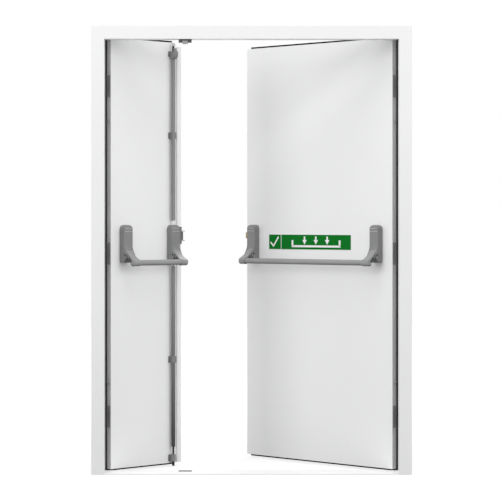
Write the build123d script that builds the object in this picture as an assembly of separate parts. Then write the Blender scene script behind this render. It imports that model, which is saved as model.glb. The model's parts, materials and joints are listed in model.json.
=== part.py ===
from build123d import *
import math
import os

# Double fire exit door: a leaf and a half, both opening outwards.
# X runs to the right, Y outwards from the room, Z up, all in millimetres.
# The origin is on the underside of the threshold, at mid width, on the frame's room face.

# Frame
frame_w = 1500.0          # over the jambs
frame_h = 2100.0
face_w = 60.0             # jamb and head face seen from the room
frame_d = 104.0           # room face to outer face
rebate_d = 27.0           # rebate behind the stop
rebate_w = 16.0           # step from the reveal to the rebate side
rebate_h = 20.0           # the same step under the head
frame_wall = 2.0          # folded sheet
sill_front = 6.0          # threshold height at its room edge
sill_h = 11.0             # threshold height behind its slope
sill_land = 32.0          # flat land in front of the stop

# Leaves
open_deg = 45.0           # how far both leaves stand open
edge_gap = 6.0            # tray edge to rebate side
stop_gap = 5.0            # leaf face to stop
top_gap = 7.0
floor_gap = 5.0           # threshold to tray
tray_t = 30.0             # room-side tray
back_t = 15.0             # lipped outer tray
skin = 1.0
lip = 11.0                # outer tray beyond the room-side tray
left_w = 421.5            # narrow leaf, with the bolts
meet_gap = 5.0            # between the meeting strip and the wide leaf
seal_t = 2.0
seal_edge = 1.5           # seal back from the lip's edge
seal_gap = 0.5            # seal off the tray

# Meeting strip, an angle on the narrow leaf's free edge
strip_t = 1.5
strip_out = 8.0           # room face of its flange off the leaf
strip_reach = 24.0        # flange past the leaf's edge
strip_head_gap = 6.0      # below the head's stop

# Hinges
axis_in = 3.0             # hinge axis from the tray edge towards the jamb
knuckle_r = 5.5
knuckle_gap = 0.5         # knuckle to the leaf's outer face
hinge_h = 105.0
hinge_low_z = 263.0       # middle of the lowest hinge
hinge_mid_z = 1034.0
hinge_top_in = 275.0      # middle of the top hinge below the frame's top
knuckle_play = 0.6        # between the two barrels
flap_t = 2.0
flap_back = 2.0           # flap back from the rebate's corner
notch_play = 2.0          # lip notch above and below a hinge

# Dog bolts on the hinge edge
dog_in = 165.0            # from the lowest and the top hinge
dog_y = 11.5              # stud's middle behind the leaf's room face
dog_r = 6.0
dog_plate_h = 34.0
dog_plate_w = 16.0
dog_plate_t = 1.0
dog_len = 12.0
dog_play = 2.0            # round the stud, in the jamb's slot

# Wall fixings through each jamb
fix_r = 5.5
fix_y = 38.0
fix_end = 200.0           # end fixings from the jamb's ends
fix_count = 3

# Panic hardware housings
box_w = 53.0
box_z = 990.0             # underside
box_h = 179.5
box_d = 33.5
box_top_r = 13.0          # roll of the top towards the front
box_corner_r = 20.0       # top corners seen from the front
box_foot_r = 6.0          # lower corners
cheek_d = 51.0            # bulge of the cheeks round the lever
cheek_foot_d = 30.0       # where the cheeks run back to below the lever
cheek_r = 5.0
cheek_w = 6.0
slot_back = 23.0          # lever slot's back wall off the leaf
slot_play = 1.0           # over the lever's tail
left_box_in = (82.0, 33.5)    # housings' middles from the hinge edge and the free edge
right_box_in = (88.5, 59.5)

# Push bar and its levers
pivot_h = 39.0
pivot_z = 1026.0
pivot_r = 4.0
pivot_play = 0.3
lever_w = 38.0
root_r = 13.0
tail_h = 29.0             # lever's tail above the pivot
nose_over = 3.0           # lever's nose round the bar
bar_r = 13.5
bar_wall = 2.0
bar_h = 85.0              # bar axis off the leaf
bar_z = 990.0

# Vertical bolts on the narrow leaf
bolt_h = 16.0             # rod axis off the leaf
bolt_travel = 18.0
tube_r = 9.5
rod_r = 4.5
rod_play = 0.7
bolt_catch = 10.0         # tip above the head's soffit
tip_r = 7.5
tip_len = 16.0
shank_r = 5.3
tube_end_play = 1.0       # upper tube under the top guide
tube_gap = 20.5           # bare rod between the housing and the upper tube
rod_in = 20.0             # rod inside the housing
low_tube_z = 96.0
low_tube_gap = 20.5       # bare rod under the housing
foot_z = 3.4
foot_r = 6.3
keep_play = 1.3

# Guides
guide_plate_t = 3.0
guide_w = 24.0
plate_w = 40.0
top_guide_h = 36.0
top_guide_d = 37.0        # body off the leaf
top_guide_r = 18.0        # its lower front corner
top_plate_h = 26.0
top_guide_in = 31.0       # below the head's soffit
top_guide_nose = 14.0
mid_guide_h = 32.0
low_mid_z = 518.0         # middle of the lower tube's guide
high_mid_in = 452.0       # middle of the upper tube's guide below the leaf's top
foot_guide_h = 33.0
foot_guide_up = 9.0       # above the leaf's lower edge
guide_wall = 3.0

# Keeps for the vertical bolts
keep_w = 61.0
keep_t = 3.0
keep_h = 16.0
keep_back = 1.0           # plate in front of the stop
keep_d = 42.0
nub_w = 25.0
nub_h = 7.0                # below the turned-down edge
nub_top = 5.0              # below the soffit
nub_out = 2.5              # in front of the edge
nub_r = 3.5
floor_keep_t = 2.5

# Side latch on the wide leaf and its strike on the narrow one
latch_z = (1101.0, 1131.0)
latch_h = (22.0, 32.0)
latch_out = 17.0
latch_in = 12.0
latch_travel = 15.0
latch_play = 0.5
strike_z = (1076.0, 1160.0)
strike_d = 30.0
strike_reach = 9.5        # block past the leaf's free edge
prong_reach = 33.5        # prongs past the free edge
prong_h = (9.0, 26.0)
prong_t = 6.0
prong_gap = 5.0           # prongs above and below the latch
roller_r = 4.5
roller_pin_r = 2.5
roller_reach = 25.5       # roller axis past the free edge
roller_play = 0.3

# What follows from the sizes above
half_w = frame_w / 2
stop_d = frame_d - rebate_d
sill_slope = stop_d - sill_land
reveal_x = half_w - face_w
rebate_x = reveal_x + rebate_w
soffit_z = frame_h - face_w
rebate_z = soffit_z + rebate_h
keep_y = stop_d - keep_back - keep_d
tray_x = rebate_x - edge_gap
leaf_y = stop_d + stop_gap
leaf_t = tray_t + back_t
tray_z0 = sill_h + floor_gap
tray_z1 = rebate_z - top_gap
hinge_z = (hinge_low_z, hinge_mid_z, frame_h - hinge_top_in)
dog_z = (hinge_low_z + dog_in, hinge_z[2] - dog_in)
fix_pitch = (frame_h - 2 * fix_end) / (fix_count - 1)
right_w = 2 * tray_x - left_w - strip_t - meet_gap
axis_x = tray_x + axis_in
axis_y = leaf_y + leaf_t + knuckle_gap + knuckle_r
box_u_left = (left_box_in[0], left_w - left_box_in[1])
box_u_right = (right_box_in[0], right_w - right_box_in[1])
bolt_u = box_u_left[1]
bolt_x = -tray_x + bolt_u
bolt_y = leaf_y - bolt_h
box_top = box_z + box_h
tail_z = pivot_z + tail_h
slot_h = pivot_z + math.hypot(tail_h, pivot_h - box_d) + slot_play - box_z
nose_r = bar_r + nose_over
top_tip_z = soffit_z + bolt_catch
top_guide_z = soffit_z - top_guide_in
tube_top_z = top_guide_z - top_guide_h - tube_end_play
foot_top_z = tray_z0 + foot_guide_up + 15


def block(x0, x1, y0, y1, z0, z1):
    """A box between two corners."""
    return Pos(x0, y0, z0) * Box(x1 - x0, y1 - y0, z1 - z0, align=(Align.MIN,) * 3)


def rod(x, y, z0, z1, r):
    """An upright cylinder."""
    return Pos(x, y, z0) * Cylinder(r, z1 - z0, align=(Align.CENTER, Align.CENTER, Align.MIN))


def cross_rod(x0, x1, y, z, r):
    """A cylinder along X."""
    return Pos(x0, y, z) * Rot(0, 90, 0) * Cylinder(
        r, x1 - x0, align=(Align.CENTER, Align.CENTER, Align.MIN))


def prism_z(points, z0, z1):
    """A plan outline carried up from z0 to z1."""
    return Pos(0, 0, z0) * extrude(make_face(Polyline(*points, close=True)), z1 - z0)


def side_prism(outline, u0, u1):
    """A side outline, drawn with depth off the leaf and height, carried along the leaf."""
    turned = Plane(origin=(u0, 0, 0), x_dir=(0, -1, 0), z_dir=(-1, 0, 0))
    face = turned * outline
    return extrude(face, u1 - u0, dir=(1, 0, 0))


# Frame pieces, drawn for the left and mirrored for the right

def right_side(piece):
    return mirror(piece, about=Plane.YZ)


def jamb():
    """A closed box profile with the rebate folded in, holes for the fixings and slots for the dog bolts."""
    def outline(t):
        return [(-half_w + t, t), (-reveal_x - t, t), (-reveal_x - t, stop_d - t),
                (-rebate_x - t, stop_d - t), (-rebate_x - t, frame_d - t), (-half_w + t, frame_d - t)]
    post = prism_z(outline(0), 0, frame_h) - prism_z(outline(frame_wall), frame_wall, frame_h - frame_wall)
    for n in range(fix_count):
        post -= cross_rod(-half_w - 1, -reveal_x + 1, fix_y, fix_end + n * fix_pitch, fix_r)
    half = dog_r + dog_play
    for z in dog_z:
        post -= block(-rebate_x - frame_wall - 1, -rebate_x + 1, leaf_y + dog_y - half, leaf_y + dog_y + half,
                      z - half, z + half)
    return post


def head():
    """The same profile across the top, between the jambs, with a hole for the upper bolt."""
    t = frame_wall
    body = block(-reveal_x, reveal_x, 0, frame_d, soffit_z, frame_h)
    body += block(-rebate_x, rebate_x, stop_d, frame_d, soffit_z, frame_h)
    body -= block(-rebate_x, rebate_x, stop_d, frame_d, soffit_z, rebate_z)
    hollow = block(-reveal_x + t, reveal_x - t, t, frame_d - t, soffit_z + t, frame_h - t)
    hollow -= block(-reveal_x, reveal_x, stop_d - t, frame_d, soffit_z, rebate_z + t)
    return body - hollow - rod(bolt_x, bolt_y, soffit_z - 1, soffit_z + t + 1, tip_r + keep_play)


def threshold():
    """A low bar with a sloped room edge, let into both rebates, bored for the lower bolt."""
    outline = make_face(Polyline(
        (0, 0), (frame_d, 0), (frame_d, sill_h), (sill_slope, sill_h), (0, sill_front), close=True))
    bar = extrude(Plane(origin=(-reveal_x, 0, 0), x_dir=(0, 1, 0), z_dir=(1, 0, 0)) * outline,
                  2 * reveal_x, dir=(1, 0, 0))
    bar += block(-rebate_x, rebate_x, stop_d, frame_d, 0, sill_h)
    return bar - rod(bolt_x, bolt_y, -1, sill_h + 1, foot_r + keep_play)


def top_keep():
    """A plate under the stop, bored for the bolt, with a turned-down room edge and a nose."""
    y1 = keep_y + keep_d
    plate = block(bolt_x - keep_w / 2, bolt_x + keep_w / 2, keep_y, y1, soffit_z - keep_t, soffit_z)
    plate += block(bolt_x - keep_w / 2, bolt_x + keep_w / 2, keep_y, keep_y + keep_t,
                   soffit_z - keep_h, soffit_z)
    drop = keep_h + nub_h
    nose = Pos(0, -(nub_top + drop) / 2) * Rectangle(nub_w, drop - nub_top)
    nose = fillet(nose.vertices().sort_by(Axis.Y)[:2], nub_r)
    front = Plane(origin=(bolt_x, keep_y - nub_out, soffit_z), x_dir=(1, 0, 0), z_dir=(0, -1, 0))
    plate += extrude(front * nose, keep_t + nub_out, dir=(0, 1, 0))
    return plate - rod(bolt_x, bolt_y, soffit_z - keep_t - 1, soffit_z + 1, tip_r + keep_play)


def floor_keep():
    plate = block(bolt_x - keep_w / 2, bolt_x + keep_w / 2, sill_slope + 1, stop_d, sill_h,
                  sill_h + floor_keep_t)
    return plate - rod(bolt_x, bolt_y, sill_h - 1, sill_h + floor_keep_t + 1, foot_r + keep_play)


# Leaf pieces. Along the leaf is u, from the tray's hinge edge; y is 0 on the room face and runs
# into the leaf; pieces off the room face lie at minus their distance.

def placed(piece, side):
    """From leaf coordinates to the standing-open door."""
    shut = Pos(-tray_x, leaf_y, 0) * piece
    swung = Pos(-axis_x, axis_y, 0) * Rot(0, 0, open_deg) * Pos(axis_x, -axis_y, 0) * shut
    return right_side(swung) if side == "right" else swung


def inner_skin(width):
    """The room-side tray, a sheet folded back on four edges."""
    pan = block(0, width, 0, tray_t, tray_z0, tray_z1)
    return pan - block(skin, width - skin, skin, tray_t, tray_z0 + skin, tray_z1 - skin)


def hinge_notches(width, grow):
    """Where the lip stops short above and below each hinge."""
    half = hinge_h / 2 + notch_play + grow
    cuts = [block(-lip - 1, grow, tray_t - 1, leaf_t + 1, z - half, z + half) for z in hinge_z]
    return cuts[0] + cuts[1] + cuts[2]


def outer_skin(width):
    """The outer tray, with a lip past the other one at the top, the bottom and the hinge edge."""
    pan = block(-lip, width, tray_t, leaf_t, tray_z0 - lip, tray_z1 + lip) - hinge_notches(width, 0)
    hollow = block(-lip + skin, width - skin, tray_t + skin, leaf_t - skin,
                   tray_z0 - lip + skin, tray_z1 + lip - skin) - hinge_notches(width, skin)
    mouth = block(skin, width - skin, tray_t, tray_t + skin, tray_z0 + skin, tray_z1 - skin)
    return pan - hollow - mouth


def core(width):
    """The insulating board between the two trays."""
    return block(skin, width - skin, skin, leaf_t - skin, tray_z0 + skin, tray_z1 - skin)


def lip_seal(width):
    """The seal on the room side of the lip, broken at the hinges."""
    y0 = tray_t - seal_t
    ring = block(-lip + seal_edge, width, y0, tray_t, tray_z0 - lip + seal_edge, tray_z1 + lip - seal_edge)
    ring -= block(-seal_gap, width + 1, y0 - 1, tray_t + 1, tray_z0 - seal_gap, tray_z1 + seal_gap)
    half = hinge_h / 2 + notch_play
    for z in hinge_z:
        ring -= block(-lip - 1, 0, y0 - 1, tray_t + 1, z - half, z + half)
    return ring


def meeting_strip():
    """An angle on the narrow leaf's free edge that laps the wide leaf on the room side."""
    z0, z1 = tray_z0 + 2, soffit_z - strip_head_gap
    leg = block(left_w, left_w + strip_t, -strip_out, tray_t, z0, z1)
    return leg + block(left_w, left_w + strip_t + strip_reach, -strip_out, -strip_out + strip_t, z0, z1)


def dog_bolt(z):
    """A stud on a screwed plate on the hinge edge, which enters the jamb when the leaf shuts."""
    plate = block(-dog_plate_t, 0, dog_y - dog_plate_w / 2, dog_y + dog_plate_w / 2,
                  z - dog_plate_h / 2, z + dog_plate_h / 2)
    return plate + cross_rod(-dog_len, -dog_plate_t, dog_y, z, dog_r)


def leaf_hinge(z):
    """The leaf's half of a lift-off hinge: a flap on the tray's edge and the upper barrel."""
    y = axis_y - leaf_y
    z0, z1 = z + knuckle_play / 2, z + hinge_h / 2
    half = block(-flap_t, 0, flap_back, y - knuckle_r - 1.5, z - hinge_h / 2, z1)
    half += block(-flap_t, 0, y - knuckle_r - 2, y, z0, z1)
    return half + rod(-axis_in, y, z0, z1, knuckle_r)


def frame_hinge(z):
    """The frame's half on the rebate side: its flap and the lower barrel. The pin is inside the barrels."""
    z0, z1 = z - hinge_h / 2, z - knuckle_play / 2
    half = block(-rebate_x, -rebate_x + flap_t, stop_d + flap_back, axis_y - knuckle_r - 1.5, z0, z + hinge_h / 2)
    half += block(-rebate_x, -rebate_x + flap_t, axis_y - knuckle_r - 2, axis_y, z0, z1)
    return half + rod(-axis_x, axis_y, z0, z1, knuckle_r)


# Panic hardware. Outlines are drawn with depth off the leaf first and height second.

def housing(u):
    """A rounded cover with two cheeks that carry the lever's pivot in a slot between them."""
    sweep = ThreePointArc((box_d, pivot_z + 50), (box_d + 4, pivot_z + 25), (cheek_d, pivot_z + 3))
    side = make_face([sweep, Polyline((cheek_d, pivot_z + 3), (cheek_d - 6, pivot_z - 13),
                                      (cheek_foot_d, box_z + 9), (cheek_foot_d - 4, box_z), (0, box_z),
                                      (0, box_top), (box_d, box_top), (box_d, pivot_z + 50))])
    side = fillet([v for v in side.vertices() if v.X > box_d - 1 and v.Y > box_top - 1], box_top_r)
    side = fillet([v for v in side.vertices() if v.X > cheek_d - 1], cheek_r)
    body = side_prism(side, u - box_w / 2, u + box_w / 2)
    front = Pos(u, (box_z + box_top) / 2) * Rectangle(box_w, box_h)
    front = fillet(front.vertices().sort_by(Axis.Y)[-2:], box_corner_r)
    front = fillet(front.vertices().sort_by(Axis.Y)[:2], box_foot_r)
    towards_room = Plane(origin=(0, 0, 0), x_dir=(1, 0, 0), z_dir=(0, -1, 0))
    body &= extrude(towards_room * front, cheek_d + 1, dir=(0, -1, 0))
    inner = box_w / 2 - cheek_w
    body -= block(u - inner, u + inner, -cheek_d - 1, -slot_back, box_z - 1, box_z + slot_h)
    return body - cross_rod(u - box_w, u + box_w, -pivot_h, pivot_z, pivot_r + pivot_play)


def bolt_housing():
    """The housing that both vertical rods run into."""
    body = housing(bolt_u)
    deep = rod_in + bolt_travel + 5
    body -= rod(bolt_u, -bolt_h, box_top - deep, box_top + 1, rod_r + rod_play)
    return body - rod(bolt_u, -bolt_h, box_z - 1, box_z + deep, rod_r + rod_play)


def lock_housing():
    """The housing that the side latch slides out of."""
    u = box_u_right[1] + box_w / 2
    p = latch_play
    body = housing(box_u_right[1])
    return body - block(u - latch_in - latch_travel - p, u + 1, -latch_h[1] - p, -latch_h[0] + p,
                        latch_z[0] - p, latch_z[1] + p)


def lever(u):
    """A swept lever on a cross pin: a round root, a hollow upper side and a nose round the bar's end."""
    drop = math.sqrt(nose_r ** 2 - 5 ** 2)
    over = (bar_h + 5, bar_z + drop)
    under = (bar_h - 14, bar_z - math.sqrt(nose_r ** 2 - 14 ** 2))
    tail = (box_d + 0.5, tail_z)
    heel = (pivot_h - root_r * 0.7, pivot_z)
    belly = (pivot_h + 3, pivot_z - root_r * 0.95)
    top = ThreePointArc(tail, (pivot_h + 14, pivot_z + 5), over)
    low = ThreePointArc(under, (pivot_h + 24, pivot_z - 26), belly)
    side = make_face([top, Line(over, under), low, Line(belly, heel), Line(heel, tail)])
    side += Pos(pivot_h, pivot_z) * Circle(root_r)
    side += Pos(bar_h, bar_z) * Circle(nose_r)
    arm = side_prism(side, u - lever_w / 2, u + lever_w / 2)
    return arm + cross_rod(u - box_w / 2 + 0.5, u + box_w / 2 - 0.5, -pivot_h, pivot_z, pivot_r)


def push_bar(u0, u1):
    """A round tube between the two levers."""
    a, b = u0 + lever_w / 2, u1 - lever_w / 2
    return cross_rod(a, b, -bar_h, bar_z, bar_r) - cross_rod(a - 1, b + 1, -bar_h, bar_z, bar_r - bar_wall)


def upper_bolt():
    """Thin rod, tube, shank and rounded tip on one axis."""
    z = top_tip_z - tip_len
    tip = rod(bolt_u, -bolt_h, z, top_tip_z, tip_r)
    tip = chamfer(tip.faces().sort_by(Axis.Z)[-1].edges(), tip_r * 0.5)
    stack = rod(bolt_u, -bolt_h, box_top - rod_in, box_top + tube_gap, rod_r)
    stack += rod(bolt_u, -bolt_h, box_top + tube_gap, tube_top_z, tube_r)
    return stack + rod(bolt_u, -bolt_h, tube_top_z, z, shank_r) + tip


def lower_bolt():
    stack = rod(bolt_u, -bolt_h, box_z - low_tube_gap, box_z + rod_in, rod_r)
    stack += rod(bolt_u, -bolt_h, low_tube_z, box_z - low_tube_gap, tube_r)
    stack += rod(bolt_u, -bolt_h, foot_top_z, low_tube_z, rod_r)
    return stack + rod(bolt_u, -bolt_h, foot_z, foot_top_z, foot_r)


def guide(z0, z1, inside_r):
    """A saddle over the rod on a screwed base plate."""
    depth = bolt_h + inside_r + guide_wall
    body = block(bolt_u - guide_w / 2, bolt_u + guide_w / 2, -depth, -guide_plate_t, z0, z1)
    body = chamfer(body.edges().filter_by(Axis.Z).group_by(Axis.Y)[0], 5)
    body += block(bolt_u - plate_w / 2, bolt_u + plate_w / 2, -guide_plate_t, 0, z0 + 1, z1 - 1)
    return body - rod(bolt_u, -bolt_h, z0 - 1, z1 + 1, inside_r)


def nose_guide():
    """The guide at the top: a deeper body, rounded below, with a nose up beside the bolt's tip."""
    z0, z1 = top_guide_z - top_guide_h, top_guide_z
    side = make_face(Polyline((guide_plate_t, z0), (top_guide_d, z0), (top_guide_d, z1), (guide_plate_t, z1),
                              close=True))
    side = fillet(side.vertices().group_by(Axis.Y)[0].sort_by(Axis.X)[-1], top_guide_r)
    body = side_prism(side, bolt_u - guide_w / 2, bolt_u + guide_w / 2)
    nose = make_face(Polyline((bolt_h + tip_r + keep_play, z1), (top_guide_d - 2, z1),
                              (top_guide_d - 5, z1 + top_guide_nose),
                              (bolt_h + tip_r + keep_play, z1 + top_guide_nose), close=True))
    body += side_prism(nose, bolt_u - guide_w / 2 + 5, bolt_u + guide_w / 2 - 5)
    body += block(bolt_u - plate_w / 2, bolt_u + plate_w / 2, -guide_plate_t, 0, z1 - top_plate_h, z1)
    return body - rod(bolt_u, -bolt_h, z0 - 1, z1 + 1, shank_r + rod_play)


def latch():
    """A bolt with a sloped nose, sliding along the leaf."""
    u = box_u_right[1] + box_w / 2
    plan = [(u - latch_in, -latch_h[1]), (u + latch_out - 8, -latch_h[1]), (u + latch_out, -latch_h[1] + 6),
            (u + latch_out, -latch_h[0]), (u - latch_in, -latch_h[0])]
    return prism_z(plan, latch_z[0], latch_z[1])


def strike():
    """A block beside the housing with two prongs that hold an upright roller pin."""
    u = bolt_u + box_w / 2
    over = strip_out + 0.3
    body = block(u, left_w - 0.3, -strike_d, 0, strike_z[0], strike_z[1])
    body += block(u, left_w + strike_reach, -strike_d, -over, strike_z[0], strike_z[1])
    low, high = latch_z[0] - prong_gap, latch_z[1] + prong_gap
    for z0 in (high, low - prong_t):
        body += block(left_w + strike_reach - 1, left_w + prong_reach, -prong_h[1], -prong_h[0], z0, z0 + prong_t)
    return body + rod(left_w + roller_reach, -bolt_h, low - 1, high + 1, roller_pin_r)


def strike_roller():
    u = left_w + roller_reach
    z0, z1 = latch_z[0] - prong_gap + roller_play, latch_z[1] + prong_gap - roller_play
    return rod(u, -bolt_h, z0, z1, roller_r) - rod(u, -bolt_h, z0 - 1, z1 + 1, roller_pin_r + roller_play)


pieces = {
    "left_jamb": jamb(),
    "right_jamb": right_side(jamb()),
    "head": head(),
    "threshold": threshold(),
    "top_keep": top_keep(),
    "floor_keep": floor_keep(),
}
for n, z in enumerate(hinge_z, 1):
    pieces[f"left_frame_hinge_{n}"] = frame_hinge(z)
    pieces[f"right_frame_hinge_{n}"] = right_side(frame_hinge(z))

for side, width in (("left", left_w), ("right", right_w)):
    pieces[f"{side}_inner_skin"] = placed(inner_skin(width), side)
    pieces[f"{side}_outer_skin"] = placed(outer_skin(width), side)
    pieces[f"{side}_core"] = placed(core(width), side)
    pieces[f"{side}_lip_seal"] = placed(lip_seal(width), side)
    for n, z in enumerate(hinge_z, 1):
        pieces[f"{side}_leaf_hinge_{n}"] = placed(leaf_hinge(z), side)
    for n, z in enumerate(dog_z, 1):
        pieces[f"{side}_dog_bolt_{n}"] = placed(dog_bolt(z), side)

for side, (u0, u1) in (("left", box_u_left), ("right", box_u_right)):
    pieces[f"{side}_hinge_housing"] = placed(housing(u0), side)
    pieces[f"{side}_hinge_lever"] = placed(lever(u0), side)
    pieces[f"{side}_free_lever"] = placed(lever(u1), side)
    pieces[f"{side}_push_bar"] = placed(push_bar(u0, u1), side)

pieces["bolt_housing"] = placed(bolt_housing(), "left")
pieces["lock_housing"] = placed(lock_housing(), "right")
pieces["meeting_strip"] = placed(meeting_strip(), "left")
pieces["upper_bolt"] = placed(upper_bolt(), "left")
pieces["lower_bolt"] = placed(lower_bolt(), "left")
pieces["top_guide"] = placed(nose_guide(), "left")
for name, middle, height, inside_r in (
        ("low_mid_guide", low_mid_z, mid_guide_h, tube_r + rod_play),
        ("high_mid_guide", tray_z1 - high_mid_in, mid_guide_h, tube_r + rod_play),
        ("foot_guide", tray_z0 + foot_guide_up + foot_guide_h / 2, foot_guide_h, foot_r + rod_play)):
    pieces[name] = placed(guide(middle - height / 2, middle + height / 2, inside_r), "left")
pieces["latch"] = placed(latch(), "right")
pieces["strike"] = placed(strike(), "left")
pieces["strike_roller"] = placed(strike_roller(), "left")

os.makedirs("parts", exist_ok=True)
for name, piece in pieces.items():
    piece.label = name
    export_step(piece, f"parts/{name}.step")
print(len(pieces), "pieces; axis", axis_x, axis_y, "bolt", bolt_x, bolt_y, "right width", right_w)
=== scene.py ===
# %% [markdown]
# # A double fire exit door
#
# This notebook dresses a finished CAD model of a steel fire exit door set. The frame, the two
# leaves, the push bars, bolts and hinges already have their true shapes and places, so the work
# here is light, paint, soft edges and the small things that make metal look made: screws, ridges,
# a sign. The CAD pieces come in as a fixed frame and are never moved.

# %% Load the fixed frame
import json
import math

import bmesh
import bpy
from mathutils import Matrix, Vector

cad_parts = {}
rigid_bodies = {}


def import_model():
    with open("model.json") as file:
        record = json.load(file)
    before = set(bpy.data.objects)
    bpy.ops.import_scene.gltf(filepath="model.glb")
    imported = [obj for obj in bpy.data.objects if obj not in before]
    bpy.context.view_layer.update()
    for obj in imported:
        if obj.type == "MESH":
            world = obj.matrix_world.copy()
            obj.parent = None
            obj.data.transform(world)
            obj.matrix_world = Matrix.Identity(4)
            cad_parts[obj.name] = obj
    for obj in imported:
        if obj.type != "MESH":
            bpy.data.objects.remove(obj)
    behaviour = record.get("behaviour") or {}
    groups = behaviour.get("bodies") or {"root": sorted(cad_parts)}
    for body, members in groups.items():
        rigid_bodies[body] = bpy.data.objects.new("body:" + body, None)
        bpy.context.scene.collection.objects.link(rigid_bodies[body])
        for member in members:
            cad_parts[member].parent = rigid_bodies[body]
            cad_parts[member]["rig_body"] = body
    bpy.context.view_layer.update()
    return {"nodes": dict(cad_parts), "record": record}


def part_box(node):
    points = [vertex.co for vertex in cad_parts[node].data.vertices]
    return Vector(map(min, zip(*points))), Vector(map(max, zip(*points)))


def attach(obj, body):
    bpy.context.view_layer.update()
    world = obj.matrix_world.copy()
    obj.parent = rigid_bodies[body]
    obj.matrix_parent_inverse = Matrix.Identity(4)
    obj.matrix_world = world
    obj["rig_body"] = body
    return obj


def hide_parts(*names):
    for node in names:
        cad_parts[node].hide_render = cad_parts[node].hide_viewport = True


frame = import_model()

# %% [markdown]
# ## The camera
#
# The door was pictured head on from about ten metres with a long lens, which keeps the frame's
# sides nearly parallel while the open leaves still narrow towards the back. The camera is level at
# roughly elbow height, and a small shift slides the picture without tilting the uprights.

# %% Camera
sensor_w, picture_px, lens_px = 36.0, 500.0, 2175.0        # sensor in mm, picture and lens in its pixels
eye = (0.0, -10.17, 1.186)
camera_data = bpy.data.cameras.new("camera")
camera_data.sensor_width = sensor_w
camera_data.lens = sensor_w * lens_px / picture_px
camera_data.shift_x, camera_data.shift_y = -0.0032, -0.0572
camera_data.clip_end = 100.0
camera = bpy.data.objects.new("camera", camera_data)
camera.location = eye
camera.rotation_euler = (math.radians(90), 0, 0)
bpy.context.scene.collection.objects.link(camera)
bpy.context.scene.camera = camera
bpy.context.scene.view_settings.view_transform = "Standard"
print("lens", round(camera_data.lens, 1), "mm")

# %% [markdown]
# ## The white studio
#
# A product like this is pictured on plain white. The white comes from the colour that the camera
# and the reflections see, not from extra light: the world shows white to camera, glossy and
# transmission rays and gives the object a softer grey light. The floor is a pale plane that
# takes the door's shadow close by and turns to the same white further away.

# %% World that looks white and lights softly
def seen_directly(nodes, links):
    """1 where a ray from the camera, a reflection or glass looks at the surface."""
    path = nodes.new("ShaderNodeLightPath")
    first = nodes.new("ShaderNodeMath")
    first.operation = "MAXIMUM"
    links.new(path.outputs["Is Camera Ray"], first.inputs[0])
    links.new(path.outputs["Is Glossy Ray"], first.inputs[1])
    both = nodes.new("ShaderNodeMath")
    both.operation = "MAXIMUM"
    links.new(first.outputs[0], both.inputs[0])
    links.new(path.outputs["Is Transmission Ray"], both.inputs[1])
    return both.outputs[0]


ambient_tint, ambient_level, white_level = (0.985, 0.99, 1.0, 1), 0.64, 1.0
world = bpy.data.worlds.new("studio")
world.use_nodes = True
bpy.context.scene.world = world
nodes, links = world.node_tree.nodes, world.node_tree.links
nodes.clear()
ambient = nodes.new("ShaderNodeBackground")
ambient.inputs["Color"].default_value = ambient_tint
ambient.inputs["Strength"].default_value = ambient_level
white = nodes.new("ShaderNodeBackground")
white.inputs["Color"].default_value = (1, 1, 1, 1)
white.inputs["Strength"].default_value = white_level
either = nodes.new("ShaderNodeMixShader")
out = nodes.new("ShaderNodeOutputWorld")
links.new(seen_directly(nodes, links), either.inputs["Fac"])
links.new(ambient.outputs[0], either.inputs[1])
links.new(white.outputs[0], either.inputs[2])
links.new(either.outputs[0], out.inputs["Surface"])

# %% Floor that keeps the shadow
near_door, far_out, near_glow, floor_grey, floor_half = 1.6, 4.0, 0.70, 0.32, 14.0


def floor_material():
    """Pale paint whose own white grows from near the door to far out, in metres."""
    material = bpy.data.materials.new("studio_floor")
    material.use_nodes = True
    nodes, links = material.node_tree.nodes, material.node_tree.links
    nodes.clear()
    where = nodes.new("ShaderNodeTexCoord")
    far = nodes.new("ShaderNodeVectorMath")
    far.operation = "LENGTH"
    links.new(where.outputs["Object"], far.inputs[0])
    fade = nodes.new("ShaderNodeMapRange")
    fade.inputs["From Min"].default_value, fade.inputs["From Max"].default_value = near_door, far_out
    fade.inputs["To Min"].default_value, fade.inputs["To Max"].default_value = near_glow, white_level
    links.new(far.outputs["Value"], fade.inputs["Value"])
    glow = nodes.new("ShaderNodeMath")
    glow.operation = "MULTIPLY"
    links.new(fade.outputs["Result"], glow.inputs[0])
    links.new(seen_directly(nodes, links), glow.inputs[1])
    lift = nodes.new("ShaderNodeEmission")
    links.new(glow.outputs[0], lift.inputs["Strength"])
    paint = nodes.new("ShaderNodeBsdfDiffuse")
    paint.inputs["Color"].default_value = (floor_grey, floor_grey, floor_grey, 1)
    both = nodes.new("ShaderNodeAddShader")
    out = nodes.new("ShaderNodeOutputMaterial")
    links.new(paint.outputs[0], both.inputs[0])
    links.new(lift.outputs[0], both.inputs[1])
    links.new(both.outputs[0], out.inputs["Surface"])
    return material


bm = bmesh.new()
bmesh.ops.create_grid(bm, x_segments=1, y_segments=1, size=floor_half)
floor_mesh = bpy.data.meshes.new("floor")
bm.to_mesh(floor_mesh)
bm.free()
floor = bpy.data.objects.new("floor", floor_mesh)
floor.data.materials.append(floor_material())
bpy.context.scene.collection.objects.link(floor)

# %% [markdown]
# ## Soft light
#
# A door like this is lit with large soft lamps, which give long soft shadows, as white sheets and
# soft boxes do. One hangs in front and above, so the tops of the leaves are a little brighter than
# their feet, and one straight above picks out the tops of the bars and levers. The open leaves
# turn their faces to the sides, so a lamp on each side lights the leaf across from it, and a last
# one behind keeps the outer side readable.

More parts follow.
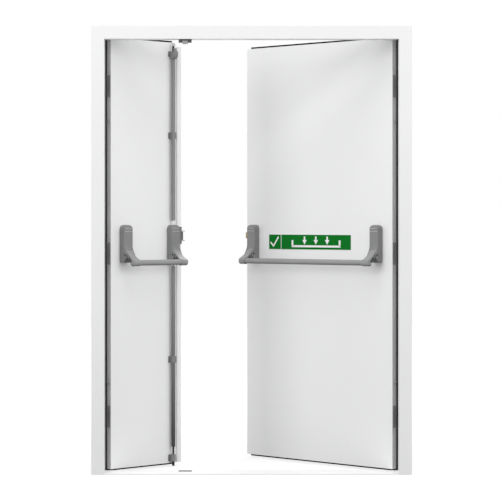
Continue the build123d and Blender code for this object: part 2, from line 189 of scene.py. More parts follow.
# %% Lamps
def soft_lamp(name, place, aim, size, watts):
    lamp_data = bpy.data.lights.new(name, "AREA")
    lamp_data.shape = "RECTANGLE"
    lamp_data.size, lamp_data.size_y = size
    lamp_data.energy = watts
    lamp = bpy.data.objects.new(name, lamp_data)
    lamp.location = place
    lamp.rotation_euler = (Vector(aim) - Vector(place)).to_track_quat("-Z", "Y").to_euler()
    bpy.context.scene.collection.objects.link(lamp)
    return lamp


lamps = [
    soft_lamp("key_lamp", (-0.8, -5.0, 4.2), (0, 0.2, 1.0), (4.5, 2.5), 42),
    soft_lamp("top_lamp", (-0.2, -1.9, 5.6), (0, 0.1, 1.0), (4.0, 2.2), 62),
    soft_lamp("left_lamp", (-4.6, -3.2, 2.8), (0, 0.3, 1.2), (2.2, 3.0), 100),
    soft_lamp("right_lamp", (4.6, -3.2, 2.8), (0, 0.3, 1.2), (2.2, 3.0), 96),
    soft_lamp("back_lamp", (2.0, 4.4, 3.6), (0, 0.3, 1.0), (3.5, 2.5), 75),
]
print("lamps:", [lamp.name for lamp in lamps])

# %% [markdown]
# ## Two shared effects
#
# Powder paint is never quite flat: it has a fine ripple, called orange peel, and its tone drifts
# a little over a wide sheet. Drawn or turned metal has fine lines in one direction. Each effect is
# one node group with named inputs, used again in every paint or metal with its own sizes. The
# groups read object coordinates, so a pattern stays on its piece.

# %% Node group helpers
def new_group(name, inputs, outputs):
    group = bpy.data.node_groups.new(name, "ShaderNodeTree")
    for socket, value in inputs.items():
        made = group.interface.new_socket(socket, in_out="INPUT", socket_type="NodeSocketFloat")
        made.default_value = value
    for socket in outputs:
        group.interface.new_socket(socket, in_out="OUTPUT", socket_type="NodeSocketFloat")
    start = group.nodes.new("NodeGroupInput")
    end = group.nodes.new("NodeGroupOutput")
    return group, start, end


def noise(group, coordinates, scale, detail):
    texture = group.nodes.new("ShaderNodeTexNoise")
    texture.inputs["Detail"].default_value = detail
    group.links.new(coordinates, texture.inputs["Vector"])
    group.links.new(scale, texture.inputs["Scale"])
    return texture.outputs["Fac"]


paint_skin, start, end = new_group(
    "paint_skin", {"Peel size": 500.0, "Drift size": 1.5}, ["Peel", "Drift"])
here = paint_skin.nodes.new("ShaderNodeTexCoord")
paint_skin.links.new(noise(paint_skin, here.outputs["Object"], start.outputs["Peel size"], 2.0),
                     end.inputs["Peel"])
paint_skin.links.new(noise(paint_skin, here.outputs["Object"], start.outputs["Drift size"], 3.0),
                     end.inputs["Drift"])

drawn_lines, start, end = new_group(
    "drawn_lines",
    {"Along X": 1.0, "Along Y": 1.0, "Along Z": 1.0, "Line size": 300.0, "Drift size": 6.0},
    ["Lines", "Drift"])
here = drawn_lines.nodes.new("ShaderNodeTexCoord")
squeeze = drawn_lines.nodes.new("ShaderNodeCombineXYZ")
for axis in "XYZ":
    drawn_lines.links.new(start.outputs["Along " + axis], squeeze.inputs[axis])
stretched = drawn_lines.nodes.new("ShaderNodeVectorMath")
stretched.operation = "MULTIPLY"
drawn_lines.links.new(here.outputs["Object"], stretched.inputs[0])
drawn_lines.links.new(squeeze.outputs[0], stretched.inputs[1])
drawn_lines.links.new(noise(drawn_lines, stretched.outputs[0], start.outputs["Line size"], 3.0),
                      end.inputs["Lines"])
drawn_lines.links.new(noise(drawn_lines, here.outputs["Object"], start.outputs["Drift size"], 3.0),
                      end.inputs["Drift"])
print("groups:", [g.name for g in bpy.data.node_groups])

# %% [markdown]
# ## Paints and metals
#
# Every finish is a Principled shader fed by one of the two groups. The fine output bends the
# normal through a Bump node, the slow one shifts the colour between two close tones and makes the
# gloss uneven. White paint stays between 0.79 and 0.94, since real white paint is never 1. The
# leaves' and the sill's white is set paler than the frame's as painted light: it makes up for the
# light the turned leaves miss and stands in for the light the sill catches from above.

# %% Material helper
relief_depth = 0.0004        # how far a full bump stands out, in metres


def finish_of(name, dark, light, rough, group, sizes, fine, slow, bump, metallic=0.0, specular=0.5):
    """A finish between two close colours, with uneven gloss and a fine relief."""
    material = bpy.data.materials.new(name)
    material.use_nodes = True
    nodes, links = material.node_tree.nodes, material.node_tree.links
    shader = nodes["Principled BSDF"]
    shader.inputs["Metallic"].default_value = metallic
    shader.inputs["Specular IOR Level"].default_value = specular
    effect = nodes.new("ShaderNodeGroup")
    effect.node_tree = group
    for socket, value in sizes.items():
        effect.inputs[socket].default_value = value
    tone = nodes.new("ShaderNodeMix")
    tone.data_type = "RGBA"
    tone.inputs["A"].default_value = (*dark, 1)
    tone.inputs["B"].default_value = (*light, 1)
    links.new(effect.outputs[slow], tone.inputs["Factor"])
    links.new(tone.outputs["Result"], shader.inputs["Base Color"])
    gloss = nodes.new("ShaderNodeMapRange")
    gloss.inputs["To Min"].default_value, gloss.inputs["To Max"].default_value = rough
    links.new(effect.outputs[slow], gloss.inputs["Value"])
    links.new(gloss.outputs["Result"], shader.inputs["Roughness"])
    relief = nodes.new("ShaderNodeBump")
    relief.inputs["Strength"].default_value = bump
    relief.inputs["Distance"].default_value = relief_depth
    links.new(effect.outputs[fine], relief.inputs["Height"])
    links.new(relief.outputs["Normal"], shader.inputs["Normal"])
    return material


def paint(name, dark, light, rough, peel=500.0, drift=1.5, bump=0.12, **more):
    return finish_of(name, dark, light, rough, paint_skin, {"Peel size": peel, "Drift size": drift},
                     "Peel", "Drift", bump, **more)


def metal(name, dark, light, rough, along=(1, 1, 1), line=300.0, drift=6.0, bump=0.2, metallic=1.0,
          **more):
    sizes = {"Along X": along[0], "Along Y": along[1], "Along Z": along[2], "Line size": line,
             "Drift size": drift}
    return finish_of(name, dark, light, rough, drawn_lines, sizes, "Lines", "Drift", bump,
                     metallic=metallic, **more)


# %% The finishes
finishes = {
    # Painted light: the leaf and sill whites are set paler than the frame white.
    "frame_paint": paint("white_frame_paint", (0.79, 0.79, 0.79), (0.83, 0.83, 0.83), (0.34, 0.42)),
    "sill_paint": paint("white_sill_paint_painted_light", (0.88, 0.88, 0.88), (0.94, 0.94, 0.94), (0.45, 0.6), drift=5.0),
    "leaf_paint": paint("white_leaf_paint_painted_light", (0.89, 0.89, 0.89), (0.92, 0.92, 0.92), (0.26, 0.34)),
    "core_board": paint("grey_core_board", (0.30, 0.27, 0.22), (0.42, 0.38, 0.31), (0.8, 0.95), peel=900.0,
                        drift=40.0, bump=0.6),
    "seal_rubber": paint("black_seal_rubber", (0.003, 0.003, 0.003), (0.007, 0.007, 0.007), (0.80, 0.95),
                         peel=1400.0, drift=60.0, bump=0.4, specular=0.02),
    "hinge_steel": metal("grey_hinge_steel", (0.26, 0.26, 0.26), (0.36, 0.36, 0.36), (0.42, 0.58),
                         along=(1, 1, 0.08), metallic=0.25),
    "housing_paint": paint("silver_grey_paint", (0.215, 0.215, 0.215), (0.250, 0.250, 0.252), (0.36, 0.46),
                           peel=900.0, drift=12.0, bump=0.10, metallic=0.2),
    "bar_metal": metal("silver_bar_metal_painted_shade", (0.285, 0.285, 0.285), (0.335, 0.335, 0.337), (0.34, 0.44),
                       along=(0.05, 0.05, 1), metallic=0.15, bump=0.06, specular=0.30),
    "bolt_metal": metal("silver_bolt_metal", (0.21, 0.21, 0.21), (0.26, 0.26, 0.26), (0.42, 0.55),
                        along=(1, 1, 0.04), metallic=0.2, bump=0.08),
    "keep_steel": metal("dark_keep_steel", (0.09, 0.09, 0.09), (0.14, 0.14, 0.14), (0.40, 0.55),
                        along=(0.1, 1, 1), metallic=0.3),
    "latch_brass": metal("latch_brass", (0.30, 0.22, 0.10), (0.40, 0.30, 0.15), (0.25, 0.38),
                         along=(0.1, 0.1, 1)),
}
slot_of = {s["node"]: s["material_slot"] for s in frame["record"]["subparts"]}
body_of = {n: o["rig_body"] for n, o in frame["nodes"].items()}
print(len(finishes), "finishes")

# %% [markdown]
# ## Soft edges on every CAD piece
#
# A CAD edge is perfectly sharp, and nothing real is. Folded sheet has a small radius, castings a
# larger one, and that thin bright or dark line along an edge is what the eye reads as solid metal.
# Each CAD node is copied, its loose triangles are joined, flat neighbours are merged to whole
# faces, and a Bevel modifier rounds only the sharp corners. The copy then stands for the node.

# %% Helper that dresses a node
crease = 32.0                # edges turned by more than this many degrees stay crisp or are rounded
join_dist = 0.00002          # corners of the CAD mesh closer than this are one


def shaded(obj, angle=crease):
    for face in obj.data.polygons:
        face.use_smooth = True
    obj.data.set_sharp_from_angle(angle=math.radians(angle))
    return obj


def dressed(node, radius, segments=2):
    """A joined, softened copy of a CAD node that replaces it. The radius is in millimetres."""
    bm = bmesh.new()
    bm.from_mesh(frame["nodes"][node].data)
    bmesh.ops.remove_doubles(bm, verts=bm.verts, dist=join_dist)
    bmesh.ops.dissolve_limit(bm, angle_limit=math.radians(0.5), verts=bm.verts, edges=bm.edges)
    mesh = bpy.data.meshes.new(node + "_piece")
    bm.to_mesh(mesh)
    bm.free()
    piece = bpy.data.objects.new(node + "_piece", mesh)
    piece.data.materials.append(finishes[slot_of[node]])
    bpy.context.scene.collection.objects.link(piece)
    shaded(piece)
    if radius:
        soft = piece.modifiers.new("soft edges", "BEVEL")
        soft.limit_method = "ANGLE"
        soft.angle_limit = math.radians(crease)
        soft.width = radius / 1000
        soft.segments = segments
        soft.profile = 0.5
        soft.harden_normals = True
        soft.use_clamp_overlap = True
    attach(piece, body_of[node])
    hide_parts(node)
    return piece


# %% Dress every node
def edge_radius(node):
    """Folded sheet has a radius of about its own thickness, castings more, small parts less."""
    if "jamb" in node or node == "head":
        return 1.6
    if "skin" in node:
        return 0.5
    if "housing" in node or "lever" in node:
        return 0.9
    if "core" in node:
        return 0.0
    if "seal" in node or "strip" in node or node in ("threshold", "strike_roller"):
        return 0.4
    return 0.5


dressed_pieces = {node: dressed(node, edge_radius(node)) for node in frame["nodes"]}
print("dressed:", len(dressed_pieces))

# %% [markdown]
# ## Working along a leaf
#
# The leaves stand open at 45 degrees, so places on them are easier to read on a shut leaf: along
# the leaf from its hinge edge, off its face, and up. One matrix swings that drawing out about the
# hinge axis, and a mirror gives the other leaf. The same matrix, turned round, says where the CAD
# put a node along its leaf, so the small pieces take their places from the frame.

# %% Leaf coordinates
hinge_axis, axis_in, face_in = (-0.703, 0.133), 0.003, 0.051
open_deg = 45
mm = 0.001


def leaf_place(leaf):
    """From places on the shut leaf to the open leaf in the scene."""
    swing = Matrix.Rotation(math.radians(open_deg), 4, "Z")
    place = Matrix.Translation((*hinge_axis, 0)) @ swing @ Matrix.Translation((axis_in, -face_in, 0))
    return place if leaf == "left" else Matrix.Diagonal((-1, 1, 1, 1)) @ place


def along_leaf(node, leaf):
    """Lowest and highest corner of a node in millimetres along its leaf, off it and up."""
    back = leaf_place(leaf).inverted()
    spots = [back @ v.co / mm for v in frame["nodes"][node].data.vertices]
    return [Vector([pick(spot[axis] for spot in spots) for axis in range(3)]) for pick in (min, max)]


def centre_along(node, leaf):
    """Middle of a node along its leaf, in millimetres."""
    low, high = along_leaf(node, leaf)
    return (low.x + high.x) / 2


def mid(node, axis=2):
    """Middle of a node's box on one axis, in millimetres."""
    low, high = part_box(node)
    return (low[axis] + high[axis]) / 2 / mm


def at(x, y, z):
    return Matrix.Translation((x * mm, y * mm, z * mm))


def turn(degrees, axis="Z"):
    return Matrix.Rotation(math.radians(degrees), 4, axis)


def hinge_heights(leaf):
    """Middles of a leaf's three hinges, in millimetres."""
    return [mid("%s_leaf_hinge_%d" % (leaf, number)) for number in (1, 2, 3)]


leaves = ("left", "right")
flip = {"left": Matrix.Identity(4), "right": Matrix.Diagonal((-1, 1, 1, 1))}
for corner in along_leaf("bolt_housing", "left"):
    print("bolt housing along its leaf:", tuple(round(v, 1) for v in corner))

# %% [markdown]
# ## More than one finish on a piece
#
# Some CAD nodes are one solid with more than one finish. The vertical bolts have a bright bare rod
# next to the housing, a silver tube, and a blackened shank or foot. The levers take a paler copy of
# the housings' grey, as painted light for their lit tops, and they and the bars turn darker
# underneath as painted shade. The folded hinge edges of the leaves are painted grey, as painted
# shade for their place beside the jambs, and the keep's nub and the strike's prongs are paler. One
# mesh can carry several materials, so the faces that pass a test on their middle and direction take another
# one.

# %% Helper that gives some faces another finish
def recoat(node, material, test, place=Matrix.Identity(4)):
    """Faces whose middle, in millimetres, and direction pass the test take the material."""
    piece = dressed_pieces[node]
    piece.data.materials.append(material)
    index = len(piece.data.materials) - 1
    back = place.inverted()
    count = 0
    for face in piece.data.polygons:
        if test(back @ face.center / mm, back.to_3x3() @ face.normal):
            face.material_index = index
            count += 1
    print(node, material.name, count, "faces")


# %% Bolts
bare_rod = metal("bare_bright_rod", (0.84, 0.84, 0.84), (0.92, 0.92, 0.92), (0.25, 0.35),
                 along=(1, 1, 0.04), metallic=0.1)
black_steel = metal("blackened_steel", (0.008, 0.008, 0.008), (0.022, 0.022, 0.022), (0.40, 0.55),
                    along=(1, 1, 0.1), metallic=0.1, specular=0.2)
pale_tip = metal("pale_bolt_tip", (0.42, 0.42, 0.42), (0.52, 0.52, 0.52), (0.35, 0.5),
                 along=(1, 1, 0.1), metallic=0.2)
housing_top, housing_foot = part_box("bolt_housing")[1][2] / mm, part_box("bolt_housing")[0][2] / mm
guide_top, bolt_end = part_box("top_guide")[1][2] / mm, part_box("upper_bolt")[1][2] / mm
tip_len, tip_slack, bare_len, shank_below = 16.0, 0.5, 20.5, 40.0
recoat("upper_bolt", bare_rod, lambda c, n: c.z < housing_top + bare_len)
recoat("upper_bolt", black_steel, lambda c, n: guide_top - shank_below < c.z < bolt_end - tip_len)
recoat("upper_bolt", pale_tip, lambda c, n: c.z > bolt_end - tip_len - tip_slack)


# %% A tube with painted shade, darker towards the floor
def painted_shade_by_height(material, high, low, shade):
    """Painted shade: the colour falls to a share of itself between two heights, in millimetres."""
    nodes, links = material.node_tree.nodes, material.node_tree.links
    shader = nodes["Principled BSDF"]
    colour = shader.inputs["Base Color"].links[0].from_socket
    here = nodes.new("ShaderNodeTexCoord")
    split = nodes.new("ShaderNodeSeparateXYZ")
    links.new(here.outputs["Object"], split.inputs[0])
    share = nodes.new("ShaderNodeMapRange")
    share.inputs["From Min"].default_value = low * mm
    share.inputs["From Max"].default_value = high * mm
    share.inputs["To Min"].default_value, share.inputs["To Max"].default_value = shade, 1.0
    links.new(split.outputs["Z"], share.inputs["Value"])
    darker = nodes.new("ShaderNodeMix")
    darker.data_type = "RGBA"
    darker.inputs["A"].default_value = (0, 0, 0, 1)
    links.new(share.outputs["Result"], darker.inputs["Factor"])
    links.new(colour, darker.inputs["B"])
    links.new(darker.outputs["Result"], shader.inputs["Base Color"])


# Painted shade: the lower tube's colour darkens towards the floor.
shaded_foot_tube = metal("foot_tube_metal_painted_shade", (0.25, 0.25, 0.25), (0.30, 0.30, 0.30), (0.42, 0.55),
                  along=(1, 1, 0.04), metallic=0.1, bump=0.08, specular=0.25)
painted_shade_by_height(shaded_foot_tube, high=900, low=100, shade=0.20)
tube_foot, tube_head, foot_top = 95.5, housing_foot - bare_len + 1, 76.0
recoat("lower_bolt", shaded_foot_tube, lambda c, n: tube_foot < c.z < tube_head)
recoat("lower_bolt", black_steel, lambda c, n: c.z < foot_top)

# %% Levers and bars, with painted shade underneath
# Painted light and shade: the levers take a paler copy of the housing grey for their lit tops, and levers
# and bars are darkened underneath.
lever_paint_painted_light_and_shade = paint("lever_grey_painted_light_and_shade", (0.27, 0.27, 0.27), (0.315, 0.315, 0.317), (0.32, 0.42),
                    peel=900.0, drift=12.0, bump=0.10, metallic=0.15)
painted_shade_by_height(lever_paint_painted_light_and_shade, high=985, low=974, shade=0.35)
painted_shade_by_height(finishes["bar_metal"], high=986, low=978, shade=0.35)
levers = {"left_hinge_lever": "left", "left_free_lever": "left",
          "right_hinge_lever": "right", "right_free_lever": "right"}
for node in levers:
    dressed_pieces[node].data.materials[0] = lever_paint_painted_light_and_shade
print("levers repainted:", len(levers))

# %% Folded edges, nub and prongs
# Painted shade: the leaves' hinge edges and the dog bolt plates on them are painted grey for the shade they
# lie in beside the jambs.
lip_painted_shade = paint("lip_grey_painted_shade", (0.52, 0.52, 0.52), (0.60, 0.60, 0.60), (0.40, 0.5))
# The keep's nub takes a paler steel than the keep's plate.
nub_paler_steel = metal("paler_nub_steel", (0.34, 0.34, 0.34), (0.44, 0.44, 0.44), (0.35, 0.5),
                   along=(0.1, 1, 1), metallic=0.3)
bright_steel = metal("bright_steel", (0.55, 0.55, 0.55), (0.65, 0.65, 0.65), (0.30, 0.42),
                     along=(0.1, 0.1, 1), metallic=0.4)
edge_turned, edge_u, dog_plate_t, plate_slack = -0.9, 0.5, 1.0, 0.1
for leaf in leaves:
    place = leaf_place(leaf)
    recoat(leaf + "_inner_skin", lip_painted_shade, lambda c, n: n.x < edge_turned and c.x < edge_u, place)
    for number in (1, 2):
        node = "%s_dog_bolt_%d" % (leaf, number)
        recoat(node, lip_painted_shade, lambda c, n: c.x > -dog_plate_t - plate_slack, place)
keep_front, keep_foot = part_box("top_keep")[0][1] / mm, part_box("top_keep")[0][2] / mm
nub_out, nub_h = 2.3, 6.8
recoat("top_keep", nub_paler_steel, lambda c, n: c.y < keep_front + nub_out or c.z < keep_foot + nub_h)
strike_steel = metal("strike_steel", (0.15, 0.15, 0.15), (0.20, 0.20, 0.20), (0.40, 0.55),
                     along=(1, 1, 0.1), metallic=0.3)
dressed_pieces["strike"].data.materials[0] = strike_steel
prong_start = 431.2
recoat("strike", bright_steel, lambda c, n: c.x > prong_start, leaf_place("left"))

# %% [markdown]
# ## Small pieces
#
# Ribs, caps, screws and signs are drawn on a shut leaf and swung into place. Each new mesh gets
# its normals recalculated, because a mirror turns a mesh inside out.

# %% Helpers that shape and finish a small piece
piece_dist = 0.000002        # corners of a small piece closer than this are one


def finished(bm, name, body, material, angle=35.0):
    """Joins doubles, turns the faces outwards and hands the mesh to its body."""
    bmesh.ops.remove_doubles(bm, verts=bm.verts, dist=piece_dist)
    bmesh.ops.recalc_face_normals(bm, faces=bm.faces)
    mesh = bpy.data.meshes.new(name)
    bm.to_mesh(mesh)
    bm.free()
    piece = bpy.data.objects.new(name, mesh)
    piece.data.materials.append(material)
    bpy.context.scene.collection.objects.link(piece)
    shaded(piece, angle)
    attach(piece, body)
    return piece


def slab(bm, low, high, place=Matrix.Identity(4), soft=0.0, segments=2):
    """A plate between two corners in millimetres, with softened edges."""
    low, high = Vector(low) * mm, Vector(high) * mm
    one = bmesh.new()
    bmesh.ops.create_cube(one, size=1.0)
    bmesh.ops.transform(one, verts=one.verts, matrix=Matrix.Translation((low + high) / 2)
                        @ Matrix.Diagonal((*(high - low), 1)))
    if soft:
        bmesh.ops.bevel(one, geom=one.edges, offset=soft * mm, offset_type="OFFSET", segments=segments,
                        profile=0.5, affect="EDGES", clamp_overlap=True, material=-1)
    added(bm, one, place)


def added(bm, one, place):
    """Puts a finished small mesh into a larger one at a place."""
    bmesh.ops.transform(one, matrix=place, verts=one.verts)
    carrier = bpy.data.meshes.new("carrier")
    one.to_mesh(carrier)
    one.free()
    bm.from_mesh(carrier)
    bpy.data.meshes.remove(carrier)


def turned(profile, steps=20):
    """A closed piece turned about Y from (radius, out) points in millimetres, where out is minus Y."""
    one = bmesh.new()
    ring = [one.verts.new((r * mm, -out * mm, 0)) for r, out in profile]
    edges = [one.edges.new(pair) for pair in zip(ring, ring[1:])]
    bmesh.ops.spin(one, geom=ring + edges, cent=(0, 0, 0), axis=(0, 1, 0), angle=math.tau,
                   steps=steps, use_merge=True)
    bmesh.ops.remove_doubles(one, verts=one.verts, dist=piece_dist)
    bmesh.ops.holes_fill(one, edges=one.edges, sides=steps)
    return one


# %% [markdown]
# ## Ribs and pivot caps on the housings
#
# Each housing has two short raised ribs across its front near the top, painted paler as a highlight,
# and a dark round cap over the lever's pivot on each cheek. A thin brow on each lever covers the play
# above its tail, and swings out with it, and a thin black plate down each side of its arm, which is a
# hollow casting, stands for the shade in the hollow as painted shade. All are small, plain and easy
# to see, and they are what makes the castings look like castings.

# %% Ribs
housings = {"left_hinge_housing": "left", "bolt_housing": "left",
            "right_hinge_housing": "right", "lock_housing": "right"}
housing_front, rib_out, rib_sunk, rib_half = 33.5, 0.9, 0.5, 1.7
rib_places = ((17.0, 19.5), (31.0, 22.5))       # down from the top, and half the length
# Painted highlight: the ribs are painted paler than the housing, standing in for the light that catches
# them.
rib_painted_highlight = paint("rib_highlight_paint", (0.36, 0.36, 0.36), (0.44, 0.44, 0.44), (0.32, 0.42), peel=900.0,
                  drift=20.0, metallic=0.2)
for name, leaf in housings.items():
    centre, top = centre_along(name, leaf), along_leaf(name, leaf)[1].z
    bm = bmesh.new()
    for down, half in rib_places:
        height = top - down
        slab(bm, (centre - half, -housing_front - rib_out, height - rib_half),
             (centre + half, -housing_front + rib_sunk, height + rib_half), leaf_place(leaf), soft=0.8)
    finished(bm, name + "_ribs", leaf + "_leaf", rib_painted_highlight)
print("ribs on", len(housings), "housings")

# %% Brows over the levers' tails
tail_front, brow_back, brow_front, brow_half, brow_soft = 34.0, 35.9, 36.7, 18.5, 0.3
root_z, flap_z = (1052.6, 1055.6), (1054.0, 1057.5)      # its root on the tail, and its flap over the slot
for name, leaf in levers.items():
    centre, place = centre_along(name, leaf), leaf_place(leaf)
    bm = bmesh.new()
    slab(bm, (centre - brow_half, -brow_front, root_z[0]),
         (centre + brow_half, -tail_front, root_z[1]), place, soft=brow_soft)
    slab(bm, (centre - brow_half, -brow_front, flap_z[0]),
         (centre + brow_half, -brow_back, flap_z[1]), place, soft=brow_soft)
    finished(bm, name + "_brow", leaf + "_bar", lever_paint_painted_light_and_shade)
print("brows on", len(levers), "levers")

# %% Hollow sides of the levers, dark as painted shade
# Painted shade: a thin black plate down each side of a lever's arm stands for the shade inside its hollow.
hollow_painted_shade = paint("lever_hollow_painted_shade", (0.040, 0.040, 0.040), (0.060, 0.060, 0.060), (0.5, 0.6),
                     peel=900.0, drift=20.0, specular=0.2)
arm_half, hollow_t, hollow_wide = 19.0, 0.25, 8.5
hollow_start, hollow_end = (57.0, 1016.0), (76.0, 993.0)       # off the leaf, and up
run = Vector((0, hollow_start[0] - hollow_end[0], hollow_end[1] - hollow_start[1]))
tilt = Matrix.Rotation(math.atan2(run.z, run.y), 4, "X")
for name, leaf in levers.items():
    centre = centre_along(name, leaf)
    bm = bmesh.new()
    for side in (-1, 1):
        place = at(centre + side * arm_half, -hollow_start[0], hollow_start[1]) @ tilt
        slab(bm, (-hollow_t, 0, -hollow_wide / 2), (hollow_t, run.length, hollow_wide / 2),
             leaf_place(leaf) @ place, soft=0.2)
    finished(bm, name + "_hollow", leaf + "_bar", hollow_painted_shade)
print("hollow sides on", len(levers), "levers")

# %% Pivot caps
cap_black = paint("black_cap_plastic", (0.012, 0.012, 0.012), (0.022, 0.022, 0.022), (0.4, 0.55),
                  peel=1200.0, drift=80.0, specular=0.2)
pivot_h, pivot_z = 39.0, 1026.0
cap_outline = [(0, 0.9), (2.8, 0.75), (4.4, 0.3), (4.7, 0.0), (4.2, -0.6)]
for name, leaf in housings.items():
    low, high = along_leaf(name, leaf)
    bm = bmesh.new()
    for cheek, way in ((low.x, -1), (high.x, 1)):
        face = at(cheek, -pivot_h, pivot_z) @ turn(90 * way)
        added(bm, turned(cap_outline, steps=24), leaf_place(leaf) @ face)
    finished(bm, name + "_caps", leaf + "_leaf", cap_black)
print("pivot caps made")

# %% [markdown]
# ## Screws
#
# Guides, keeps, hinges and dog bolts are held by countersunk socket screws. One screw is turned
# from a short outline that dips into a socket at its middle, and is added at every place to one
# mesh for each body, which keeps the scene light.

# %% One screw, and a helper that sets a row of them
def screw(radius, proud):
    """A countersunk head with a socket, its outline run from the middle to the rim."""
    return turned([(0, proud - 1.1), (radius * 0.42, proud - 1.1), (radius * 0.48, proud - 0.1),
                   (radius * 0.62, proud), (radius * 0.9, proud * 0.5), (radius, 0.0), (radius, -0.4)],
                  steps=16)


def screws(name, body, places, radius=2.6, proud=0.5, slot="bolt_metal"):
    bm = bmesh.new()
    for place in places:
        added(bm, screw(radius, proud), place)
    finished(bm, name, body, finishes[slot])
    print(name, len(places), "screws")


# %% Screws on the guides and the strike
guide_screw_out, guide_plate_t = 16.0, 3.0
guide_nodes = ("top_guide", "high_mid_guide", "low_mid_guide", "foot_guide")
rod_u = centre_along("upper_bolt", "left")
strike_screw_u, strike_screw_in = 423.0, 8.0
spots = [leaf_place("left") @ at(rod_u + way * guide_screw_out, -guide_plate_t, mid(node))
         for node in guide_nodes for way in (-1, 1)]
strike_low, strike_high = along_leaf("strike", "left")
spots += [leaf_place("left") @ at(strike_screw_u, strike_low.y, z)
          for z in (strike_low.z + strike_screw_in, strike_high.z - strike_screw_in)]
screws("guide_screws", "left_leaf", spots)

# %% Screws on the hinges, dog bolts and keeps
flap_rows, flap_y, frame_flap_y = (-38, -13, 13, 38), 15.0, 91.0
dog_y, dog_rows, rebate_x, flap_t = 11.5, (-12.5, 12.5), 706.0, 2.0
for leaf in leaves:
    heights = hinge_heights(leaf)
    flaps = [leaf_place(leaf) @ at(-flap_t, flap_y, z + step) @ turn(-90)
             for z in heights for step in flap_rows]
    screws(leaf + "_hinge_screws", leaf + "_leaf", flaps, 3.2, 0.3, "hinge_steel")
    dog_heights = [mid("%s_dog_bolt_%d" % (leaf, number)) for number in (1, 2)]
    dogs = [leaf_place(leaf) @ at(-dog_plate_t, dog_y, z + step) @ turn(-90)
            for z in dog_heights for step in dog_rows]
    screws(leaf + "_dog_screws", leaf + "_leaf", dogs, 1.8, 0.2, "hinge_steel")
    sides = [flip[leaf] @ at(-rebate_x + flap_t, frame_flap_y, z + step) @ turn(90)
             for z in heights for step in flap_rows]
    screws(leaf + "_frame_screws", "frame", sides, 3.2, 0.3, "hinge_steel")
keep_x, keep_out, keep_under, keep_screw_y = mid("top_keep", 0), 22.0, 2037.0, 55.0
floor_keep_y, floor_keep_top = mid("floor_keep", 1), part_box("floor_keep")[1][2] / mm
keeps = [at(keep_x + way * keep_out, keep_screw_y, keep_under) @ turn(90, "X") for way in (-1, 1)]
keeps += [at(keep_x + way * keep_out, floor_keep_y, floor_keep_top) @ turn(-90, "X") for way in (-1, 1)]
screws("keep_screws", "frame", keeps, slot="keep_steel")

# %% [markdown]
# ## Caps over the wall fixings
#
# The frame is anchored through its box profile, and the holes on the reveal side are closed with
# white plastic caps. A cap is a shallow turned dome that sits just over the hole.

# %% Fixing caps
cap_white = paint("white_cap_plastic", (0.84, 0.84, 0.84), (0.88, 0.88, 0.88), (0.35, 0.5),
                  peel=1200.0, drift=60.0)
fixing_heights, fixing_y, reveal_x = (200.0, 1050.0, 1900.0), 38.0, 690.0
fixing_outline = [(0, 1.4), (5.0, 1.2), (7.2, 0.6), (7.6, 0.0), (5.2, 0.0), (5.0, -1.5)]
for leaf in leaves:
    bm = bmesh.new()
    for z in fixing_heights:
        added(bm, turned(fixing_outline, steps=24), flip[leaf] @ at(-reveal_x, fixing_y, z) @ turn(90))
    finished(bm, leaf + "_fixing_caps", "frame", cap_white)
print("fixing caps made")

# %% [markdown]
# ## Black strips on the hinge flaps
#
# The black seal line along the hinge edge runs on over the hinges, where a thin black strip covers the
# part of each flap that lies in the lip's notch, as painted shade for the shade in the notch.

# %% Hinge strips
# Painted shade: a black strip over each hinge flap in the notch stands for the shade there.
strip_y, strip_half, strip_out, strip_sunk = (28.5, 43.6), 54.5, 0.7, 0.1
for leaf in leaves:
    bm = bmesh.new()
    for z in hinge_heights(leaf):
        slab(bm, (-flap_t - strip_out, strip_y[0], z - strip_half),
             (-flap_t + strip_sunk, strip_y[1], z + strip_half), leaf_place(leaf), soft=0.2)
    finished(bm, leaf + "_hinge_shade_strips", leaf + "_leaf", finishes["seal_rubber"])
print("hinge strips made")

# %% [markdown]
# ## A soft fin along the seal
#
# The seal on the lip ends in a thin soft black fin that reaches to the lip's edge and covers the
# edge, which lies in shade by the gap, as painted shade. It is laid in straight lengths: up the hinge
# edge between the hinges, and along the top and the bottom.

# %% Seal fins
# Painted shade: the black fin covers the lip's edge, which lies in shade by the gap.
fin_out, fin_in, lip_face, fin_t, fin_sunk = 10.8, 9.3, 30.0, 0.4, 0.1
fin_past, fin_under, notch_half, free_end = 1.3, 0.2, 55.5, 1
for leaf in leaves:
    low, high = along_leaf(leaf + "_lip_seal", leaf)
    notches = [z + side * notch_half for z in hinge_heights(leaf) for side in (-1, 1)]
    ends = [low.z - fin_past] + notches + [high.z + fin_past]
    bm = bmesh.new()
    for start, end in zip(ends[::2], ends[1::2]):
        slab(bm, (-fin_out, lip_face - fin_t, start), (-fin_in, lip_face + fin_sunk, end), leaf_place(leaf))
    for edge, way in ((low.z, -1), (high.z, 1)):
        span = sorted((edge - way * fin_under, edge + way * fin_past))
        slab(bm, (-fin_out, lip_face - fin_t, span[0]),
             (high.x - free_end, lip_face + fin_sunk, span[1]), leaf_place(leaf))
    finished(bm, leaf + "_seal_fin", leaf + "_leaf", finishes["seal_rubber"])
print("seal fins made")

# %% [markdown]
# ## The sign
#
# A long green sign with a thin white edge is stuck to the wide leaf above the bar. Its panels
# carry plain pictures only: a tick, and arrows that press on a bar. Each layer is a thin plate laid
# on the one below, the way printed vinyl is cut and laid, so it stays crisp from any side.

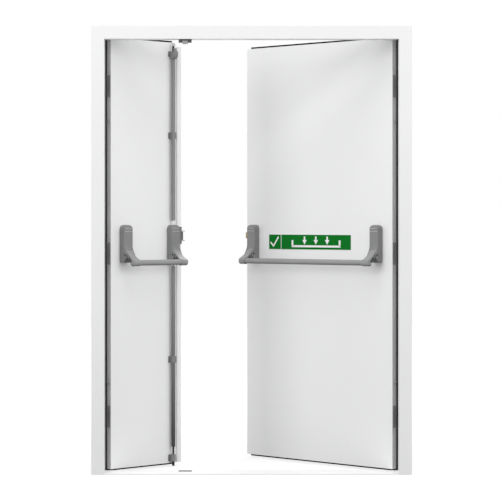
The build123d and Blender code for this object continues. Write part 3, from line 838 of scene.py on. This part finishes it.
# %% Plates of the sign
sign_white = paint("sign_white", (0.86, 0.86, 0.86), (0.90, 0.90, 0.90), (0.40, 0.5), peel=1500.0,
                   drift=8.0)
sign_green = paint("sign_green", (0.002, 0.155, 0.014), (0.004, 0.185, 0.020), (0.55, 0.65), peel=1500.0,
                   drift=8.0, specular=0.06)
on_sign = leaf_place("right")
sign_u, sign_z, sign_edge, divider = (262.0, 818.0), (1046.0, 1123.0), 2.5, (730.5, 734.0)
plate_out, panel_out, mark_out, layer_sunk = 0.8, 1.0, 1.2, 0.2
bm = bmesh.new()
slab(bm, (sign_u[0], -plate_out, sign_z[0]), (sign_u[1], 0.0, sign_z[1]), on_sign, soft=0.3)
finished(bm, "sign_plate", "right_leaf", sign_white)
bm = bmesh.new()
for start, end in ((sign_u[0] + sign_edge, divider[0]), (divider[1], sign_u[1] - sign_edge)):
    slab(bm, (start, -panel_out, sign_z[0] + sign_edge),
         (end, -plate_out + layer_sunk, sign_z[1] - sign_edge), on_sign)
finished(bm, "sign_panels", "right_leaf", sign_green)


# %% Strokes and arrows
def stroke(bm, start, end, width):
    """A flat bar from one (along, up) point of the sign to another."""
    run = Vector((end[0] - start[0], 0, end[1] - start[1]))
    tilt = Matrix.Rotation(-math.atan2(run.z, run.x), 4, "Y")
    slab(bm, (0, -mark_out, -width / 2), (run.length, -panel_out + layer_sunk, width / 2),
         on_sign @ at(start[0], 0, start[1]) @ tilt)


def arrow(bm, u, top, tip, width=10.0, head=30.0):
    """An arrow that points down: a stroke, and a three-sided prism as its head."""
    stroke(bm, (u, top), (u, tip + head * 0.6), width)
    one = bmesh.new()
    bmesh.ops.create_cone(one, cap_ends=True, segments=3, radius1=1.0, radius2=1.0, depth=1.0)
    bmesh.ops.transform(one, matrix=turn(90, "X"), verts=one.verts)
    low, high = min(v.co.z for v in one.verts), max(v.co.z for v in one.verts)
    wide = max(v.co.x for v in one.verts)
    deep = mark_out - panel_out + layer_sunk
    shape = Matrix.Diagonal((head / 2 / wide * mm, deep * mm, -head * 0.75 / (high - low) * mm, 1))
    place = at(u, -mark_out + deep / 2, tip + high * head * 0.75 / (high - low))
    added(bm, one, on_sign @ place @ shape)


bm = bmesh.new()
tick, tick_over, tick_wide = ((805.0, 1083.0), (785.0, 1064.0), (750.0, 1110.0)), (2.4, 3.0), 8.0
stroke(bm, tick[0], tick[1], tick_wide)
stroke(bm, (tick[1][0] + tick_over[0], tick[1][1] - tick_over[1]), tick[2], tick_wide)
bar_ends, bar_up, bar_wide, bracket, bracket_wide = (338.0, 654.0), 1064.0, 10.0, 30.0, 12.0
stroke(bm, (bar_ends[0] - bracket_wide / 2, bar_up), (bar_ends[1] + bracket_wide / 2, bar_up), bar_wide)
for u in bar_ends:
    stroke(bm, (u, bar_up), (u, bar_up + bracket), bracket_wide)
arrow_places, arrow_top, arrow_over = (420.0, 496.0, 572.0), 1112.0, 9
for u in arrow_places:
    arrow(bm, u, arrow_top, bar_up + arrow_over)
finished(bm, "sign_marks", "right_leaf", sign_white)
print("sign made")
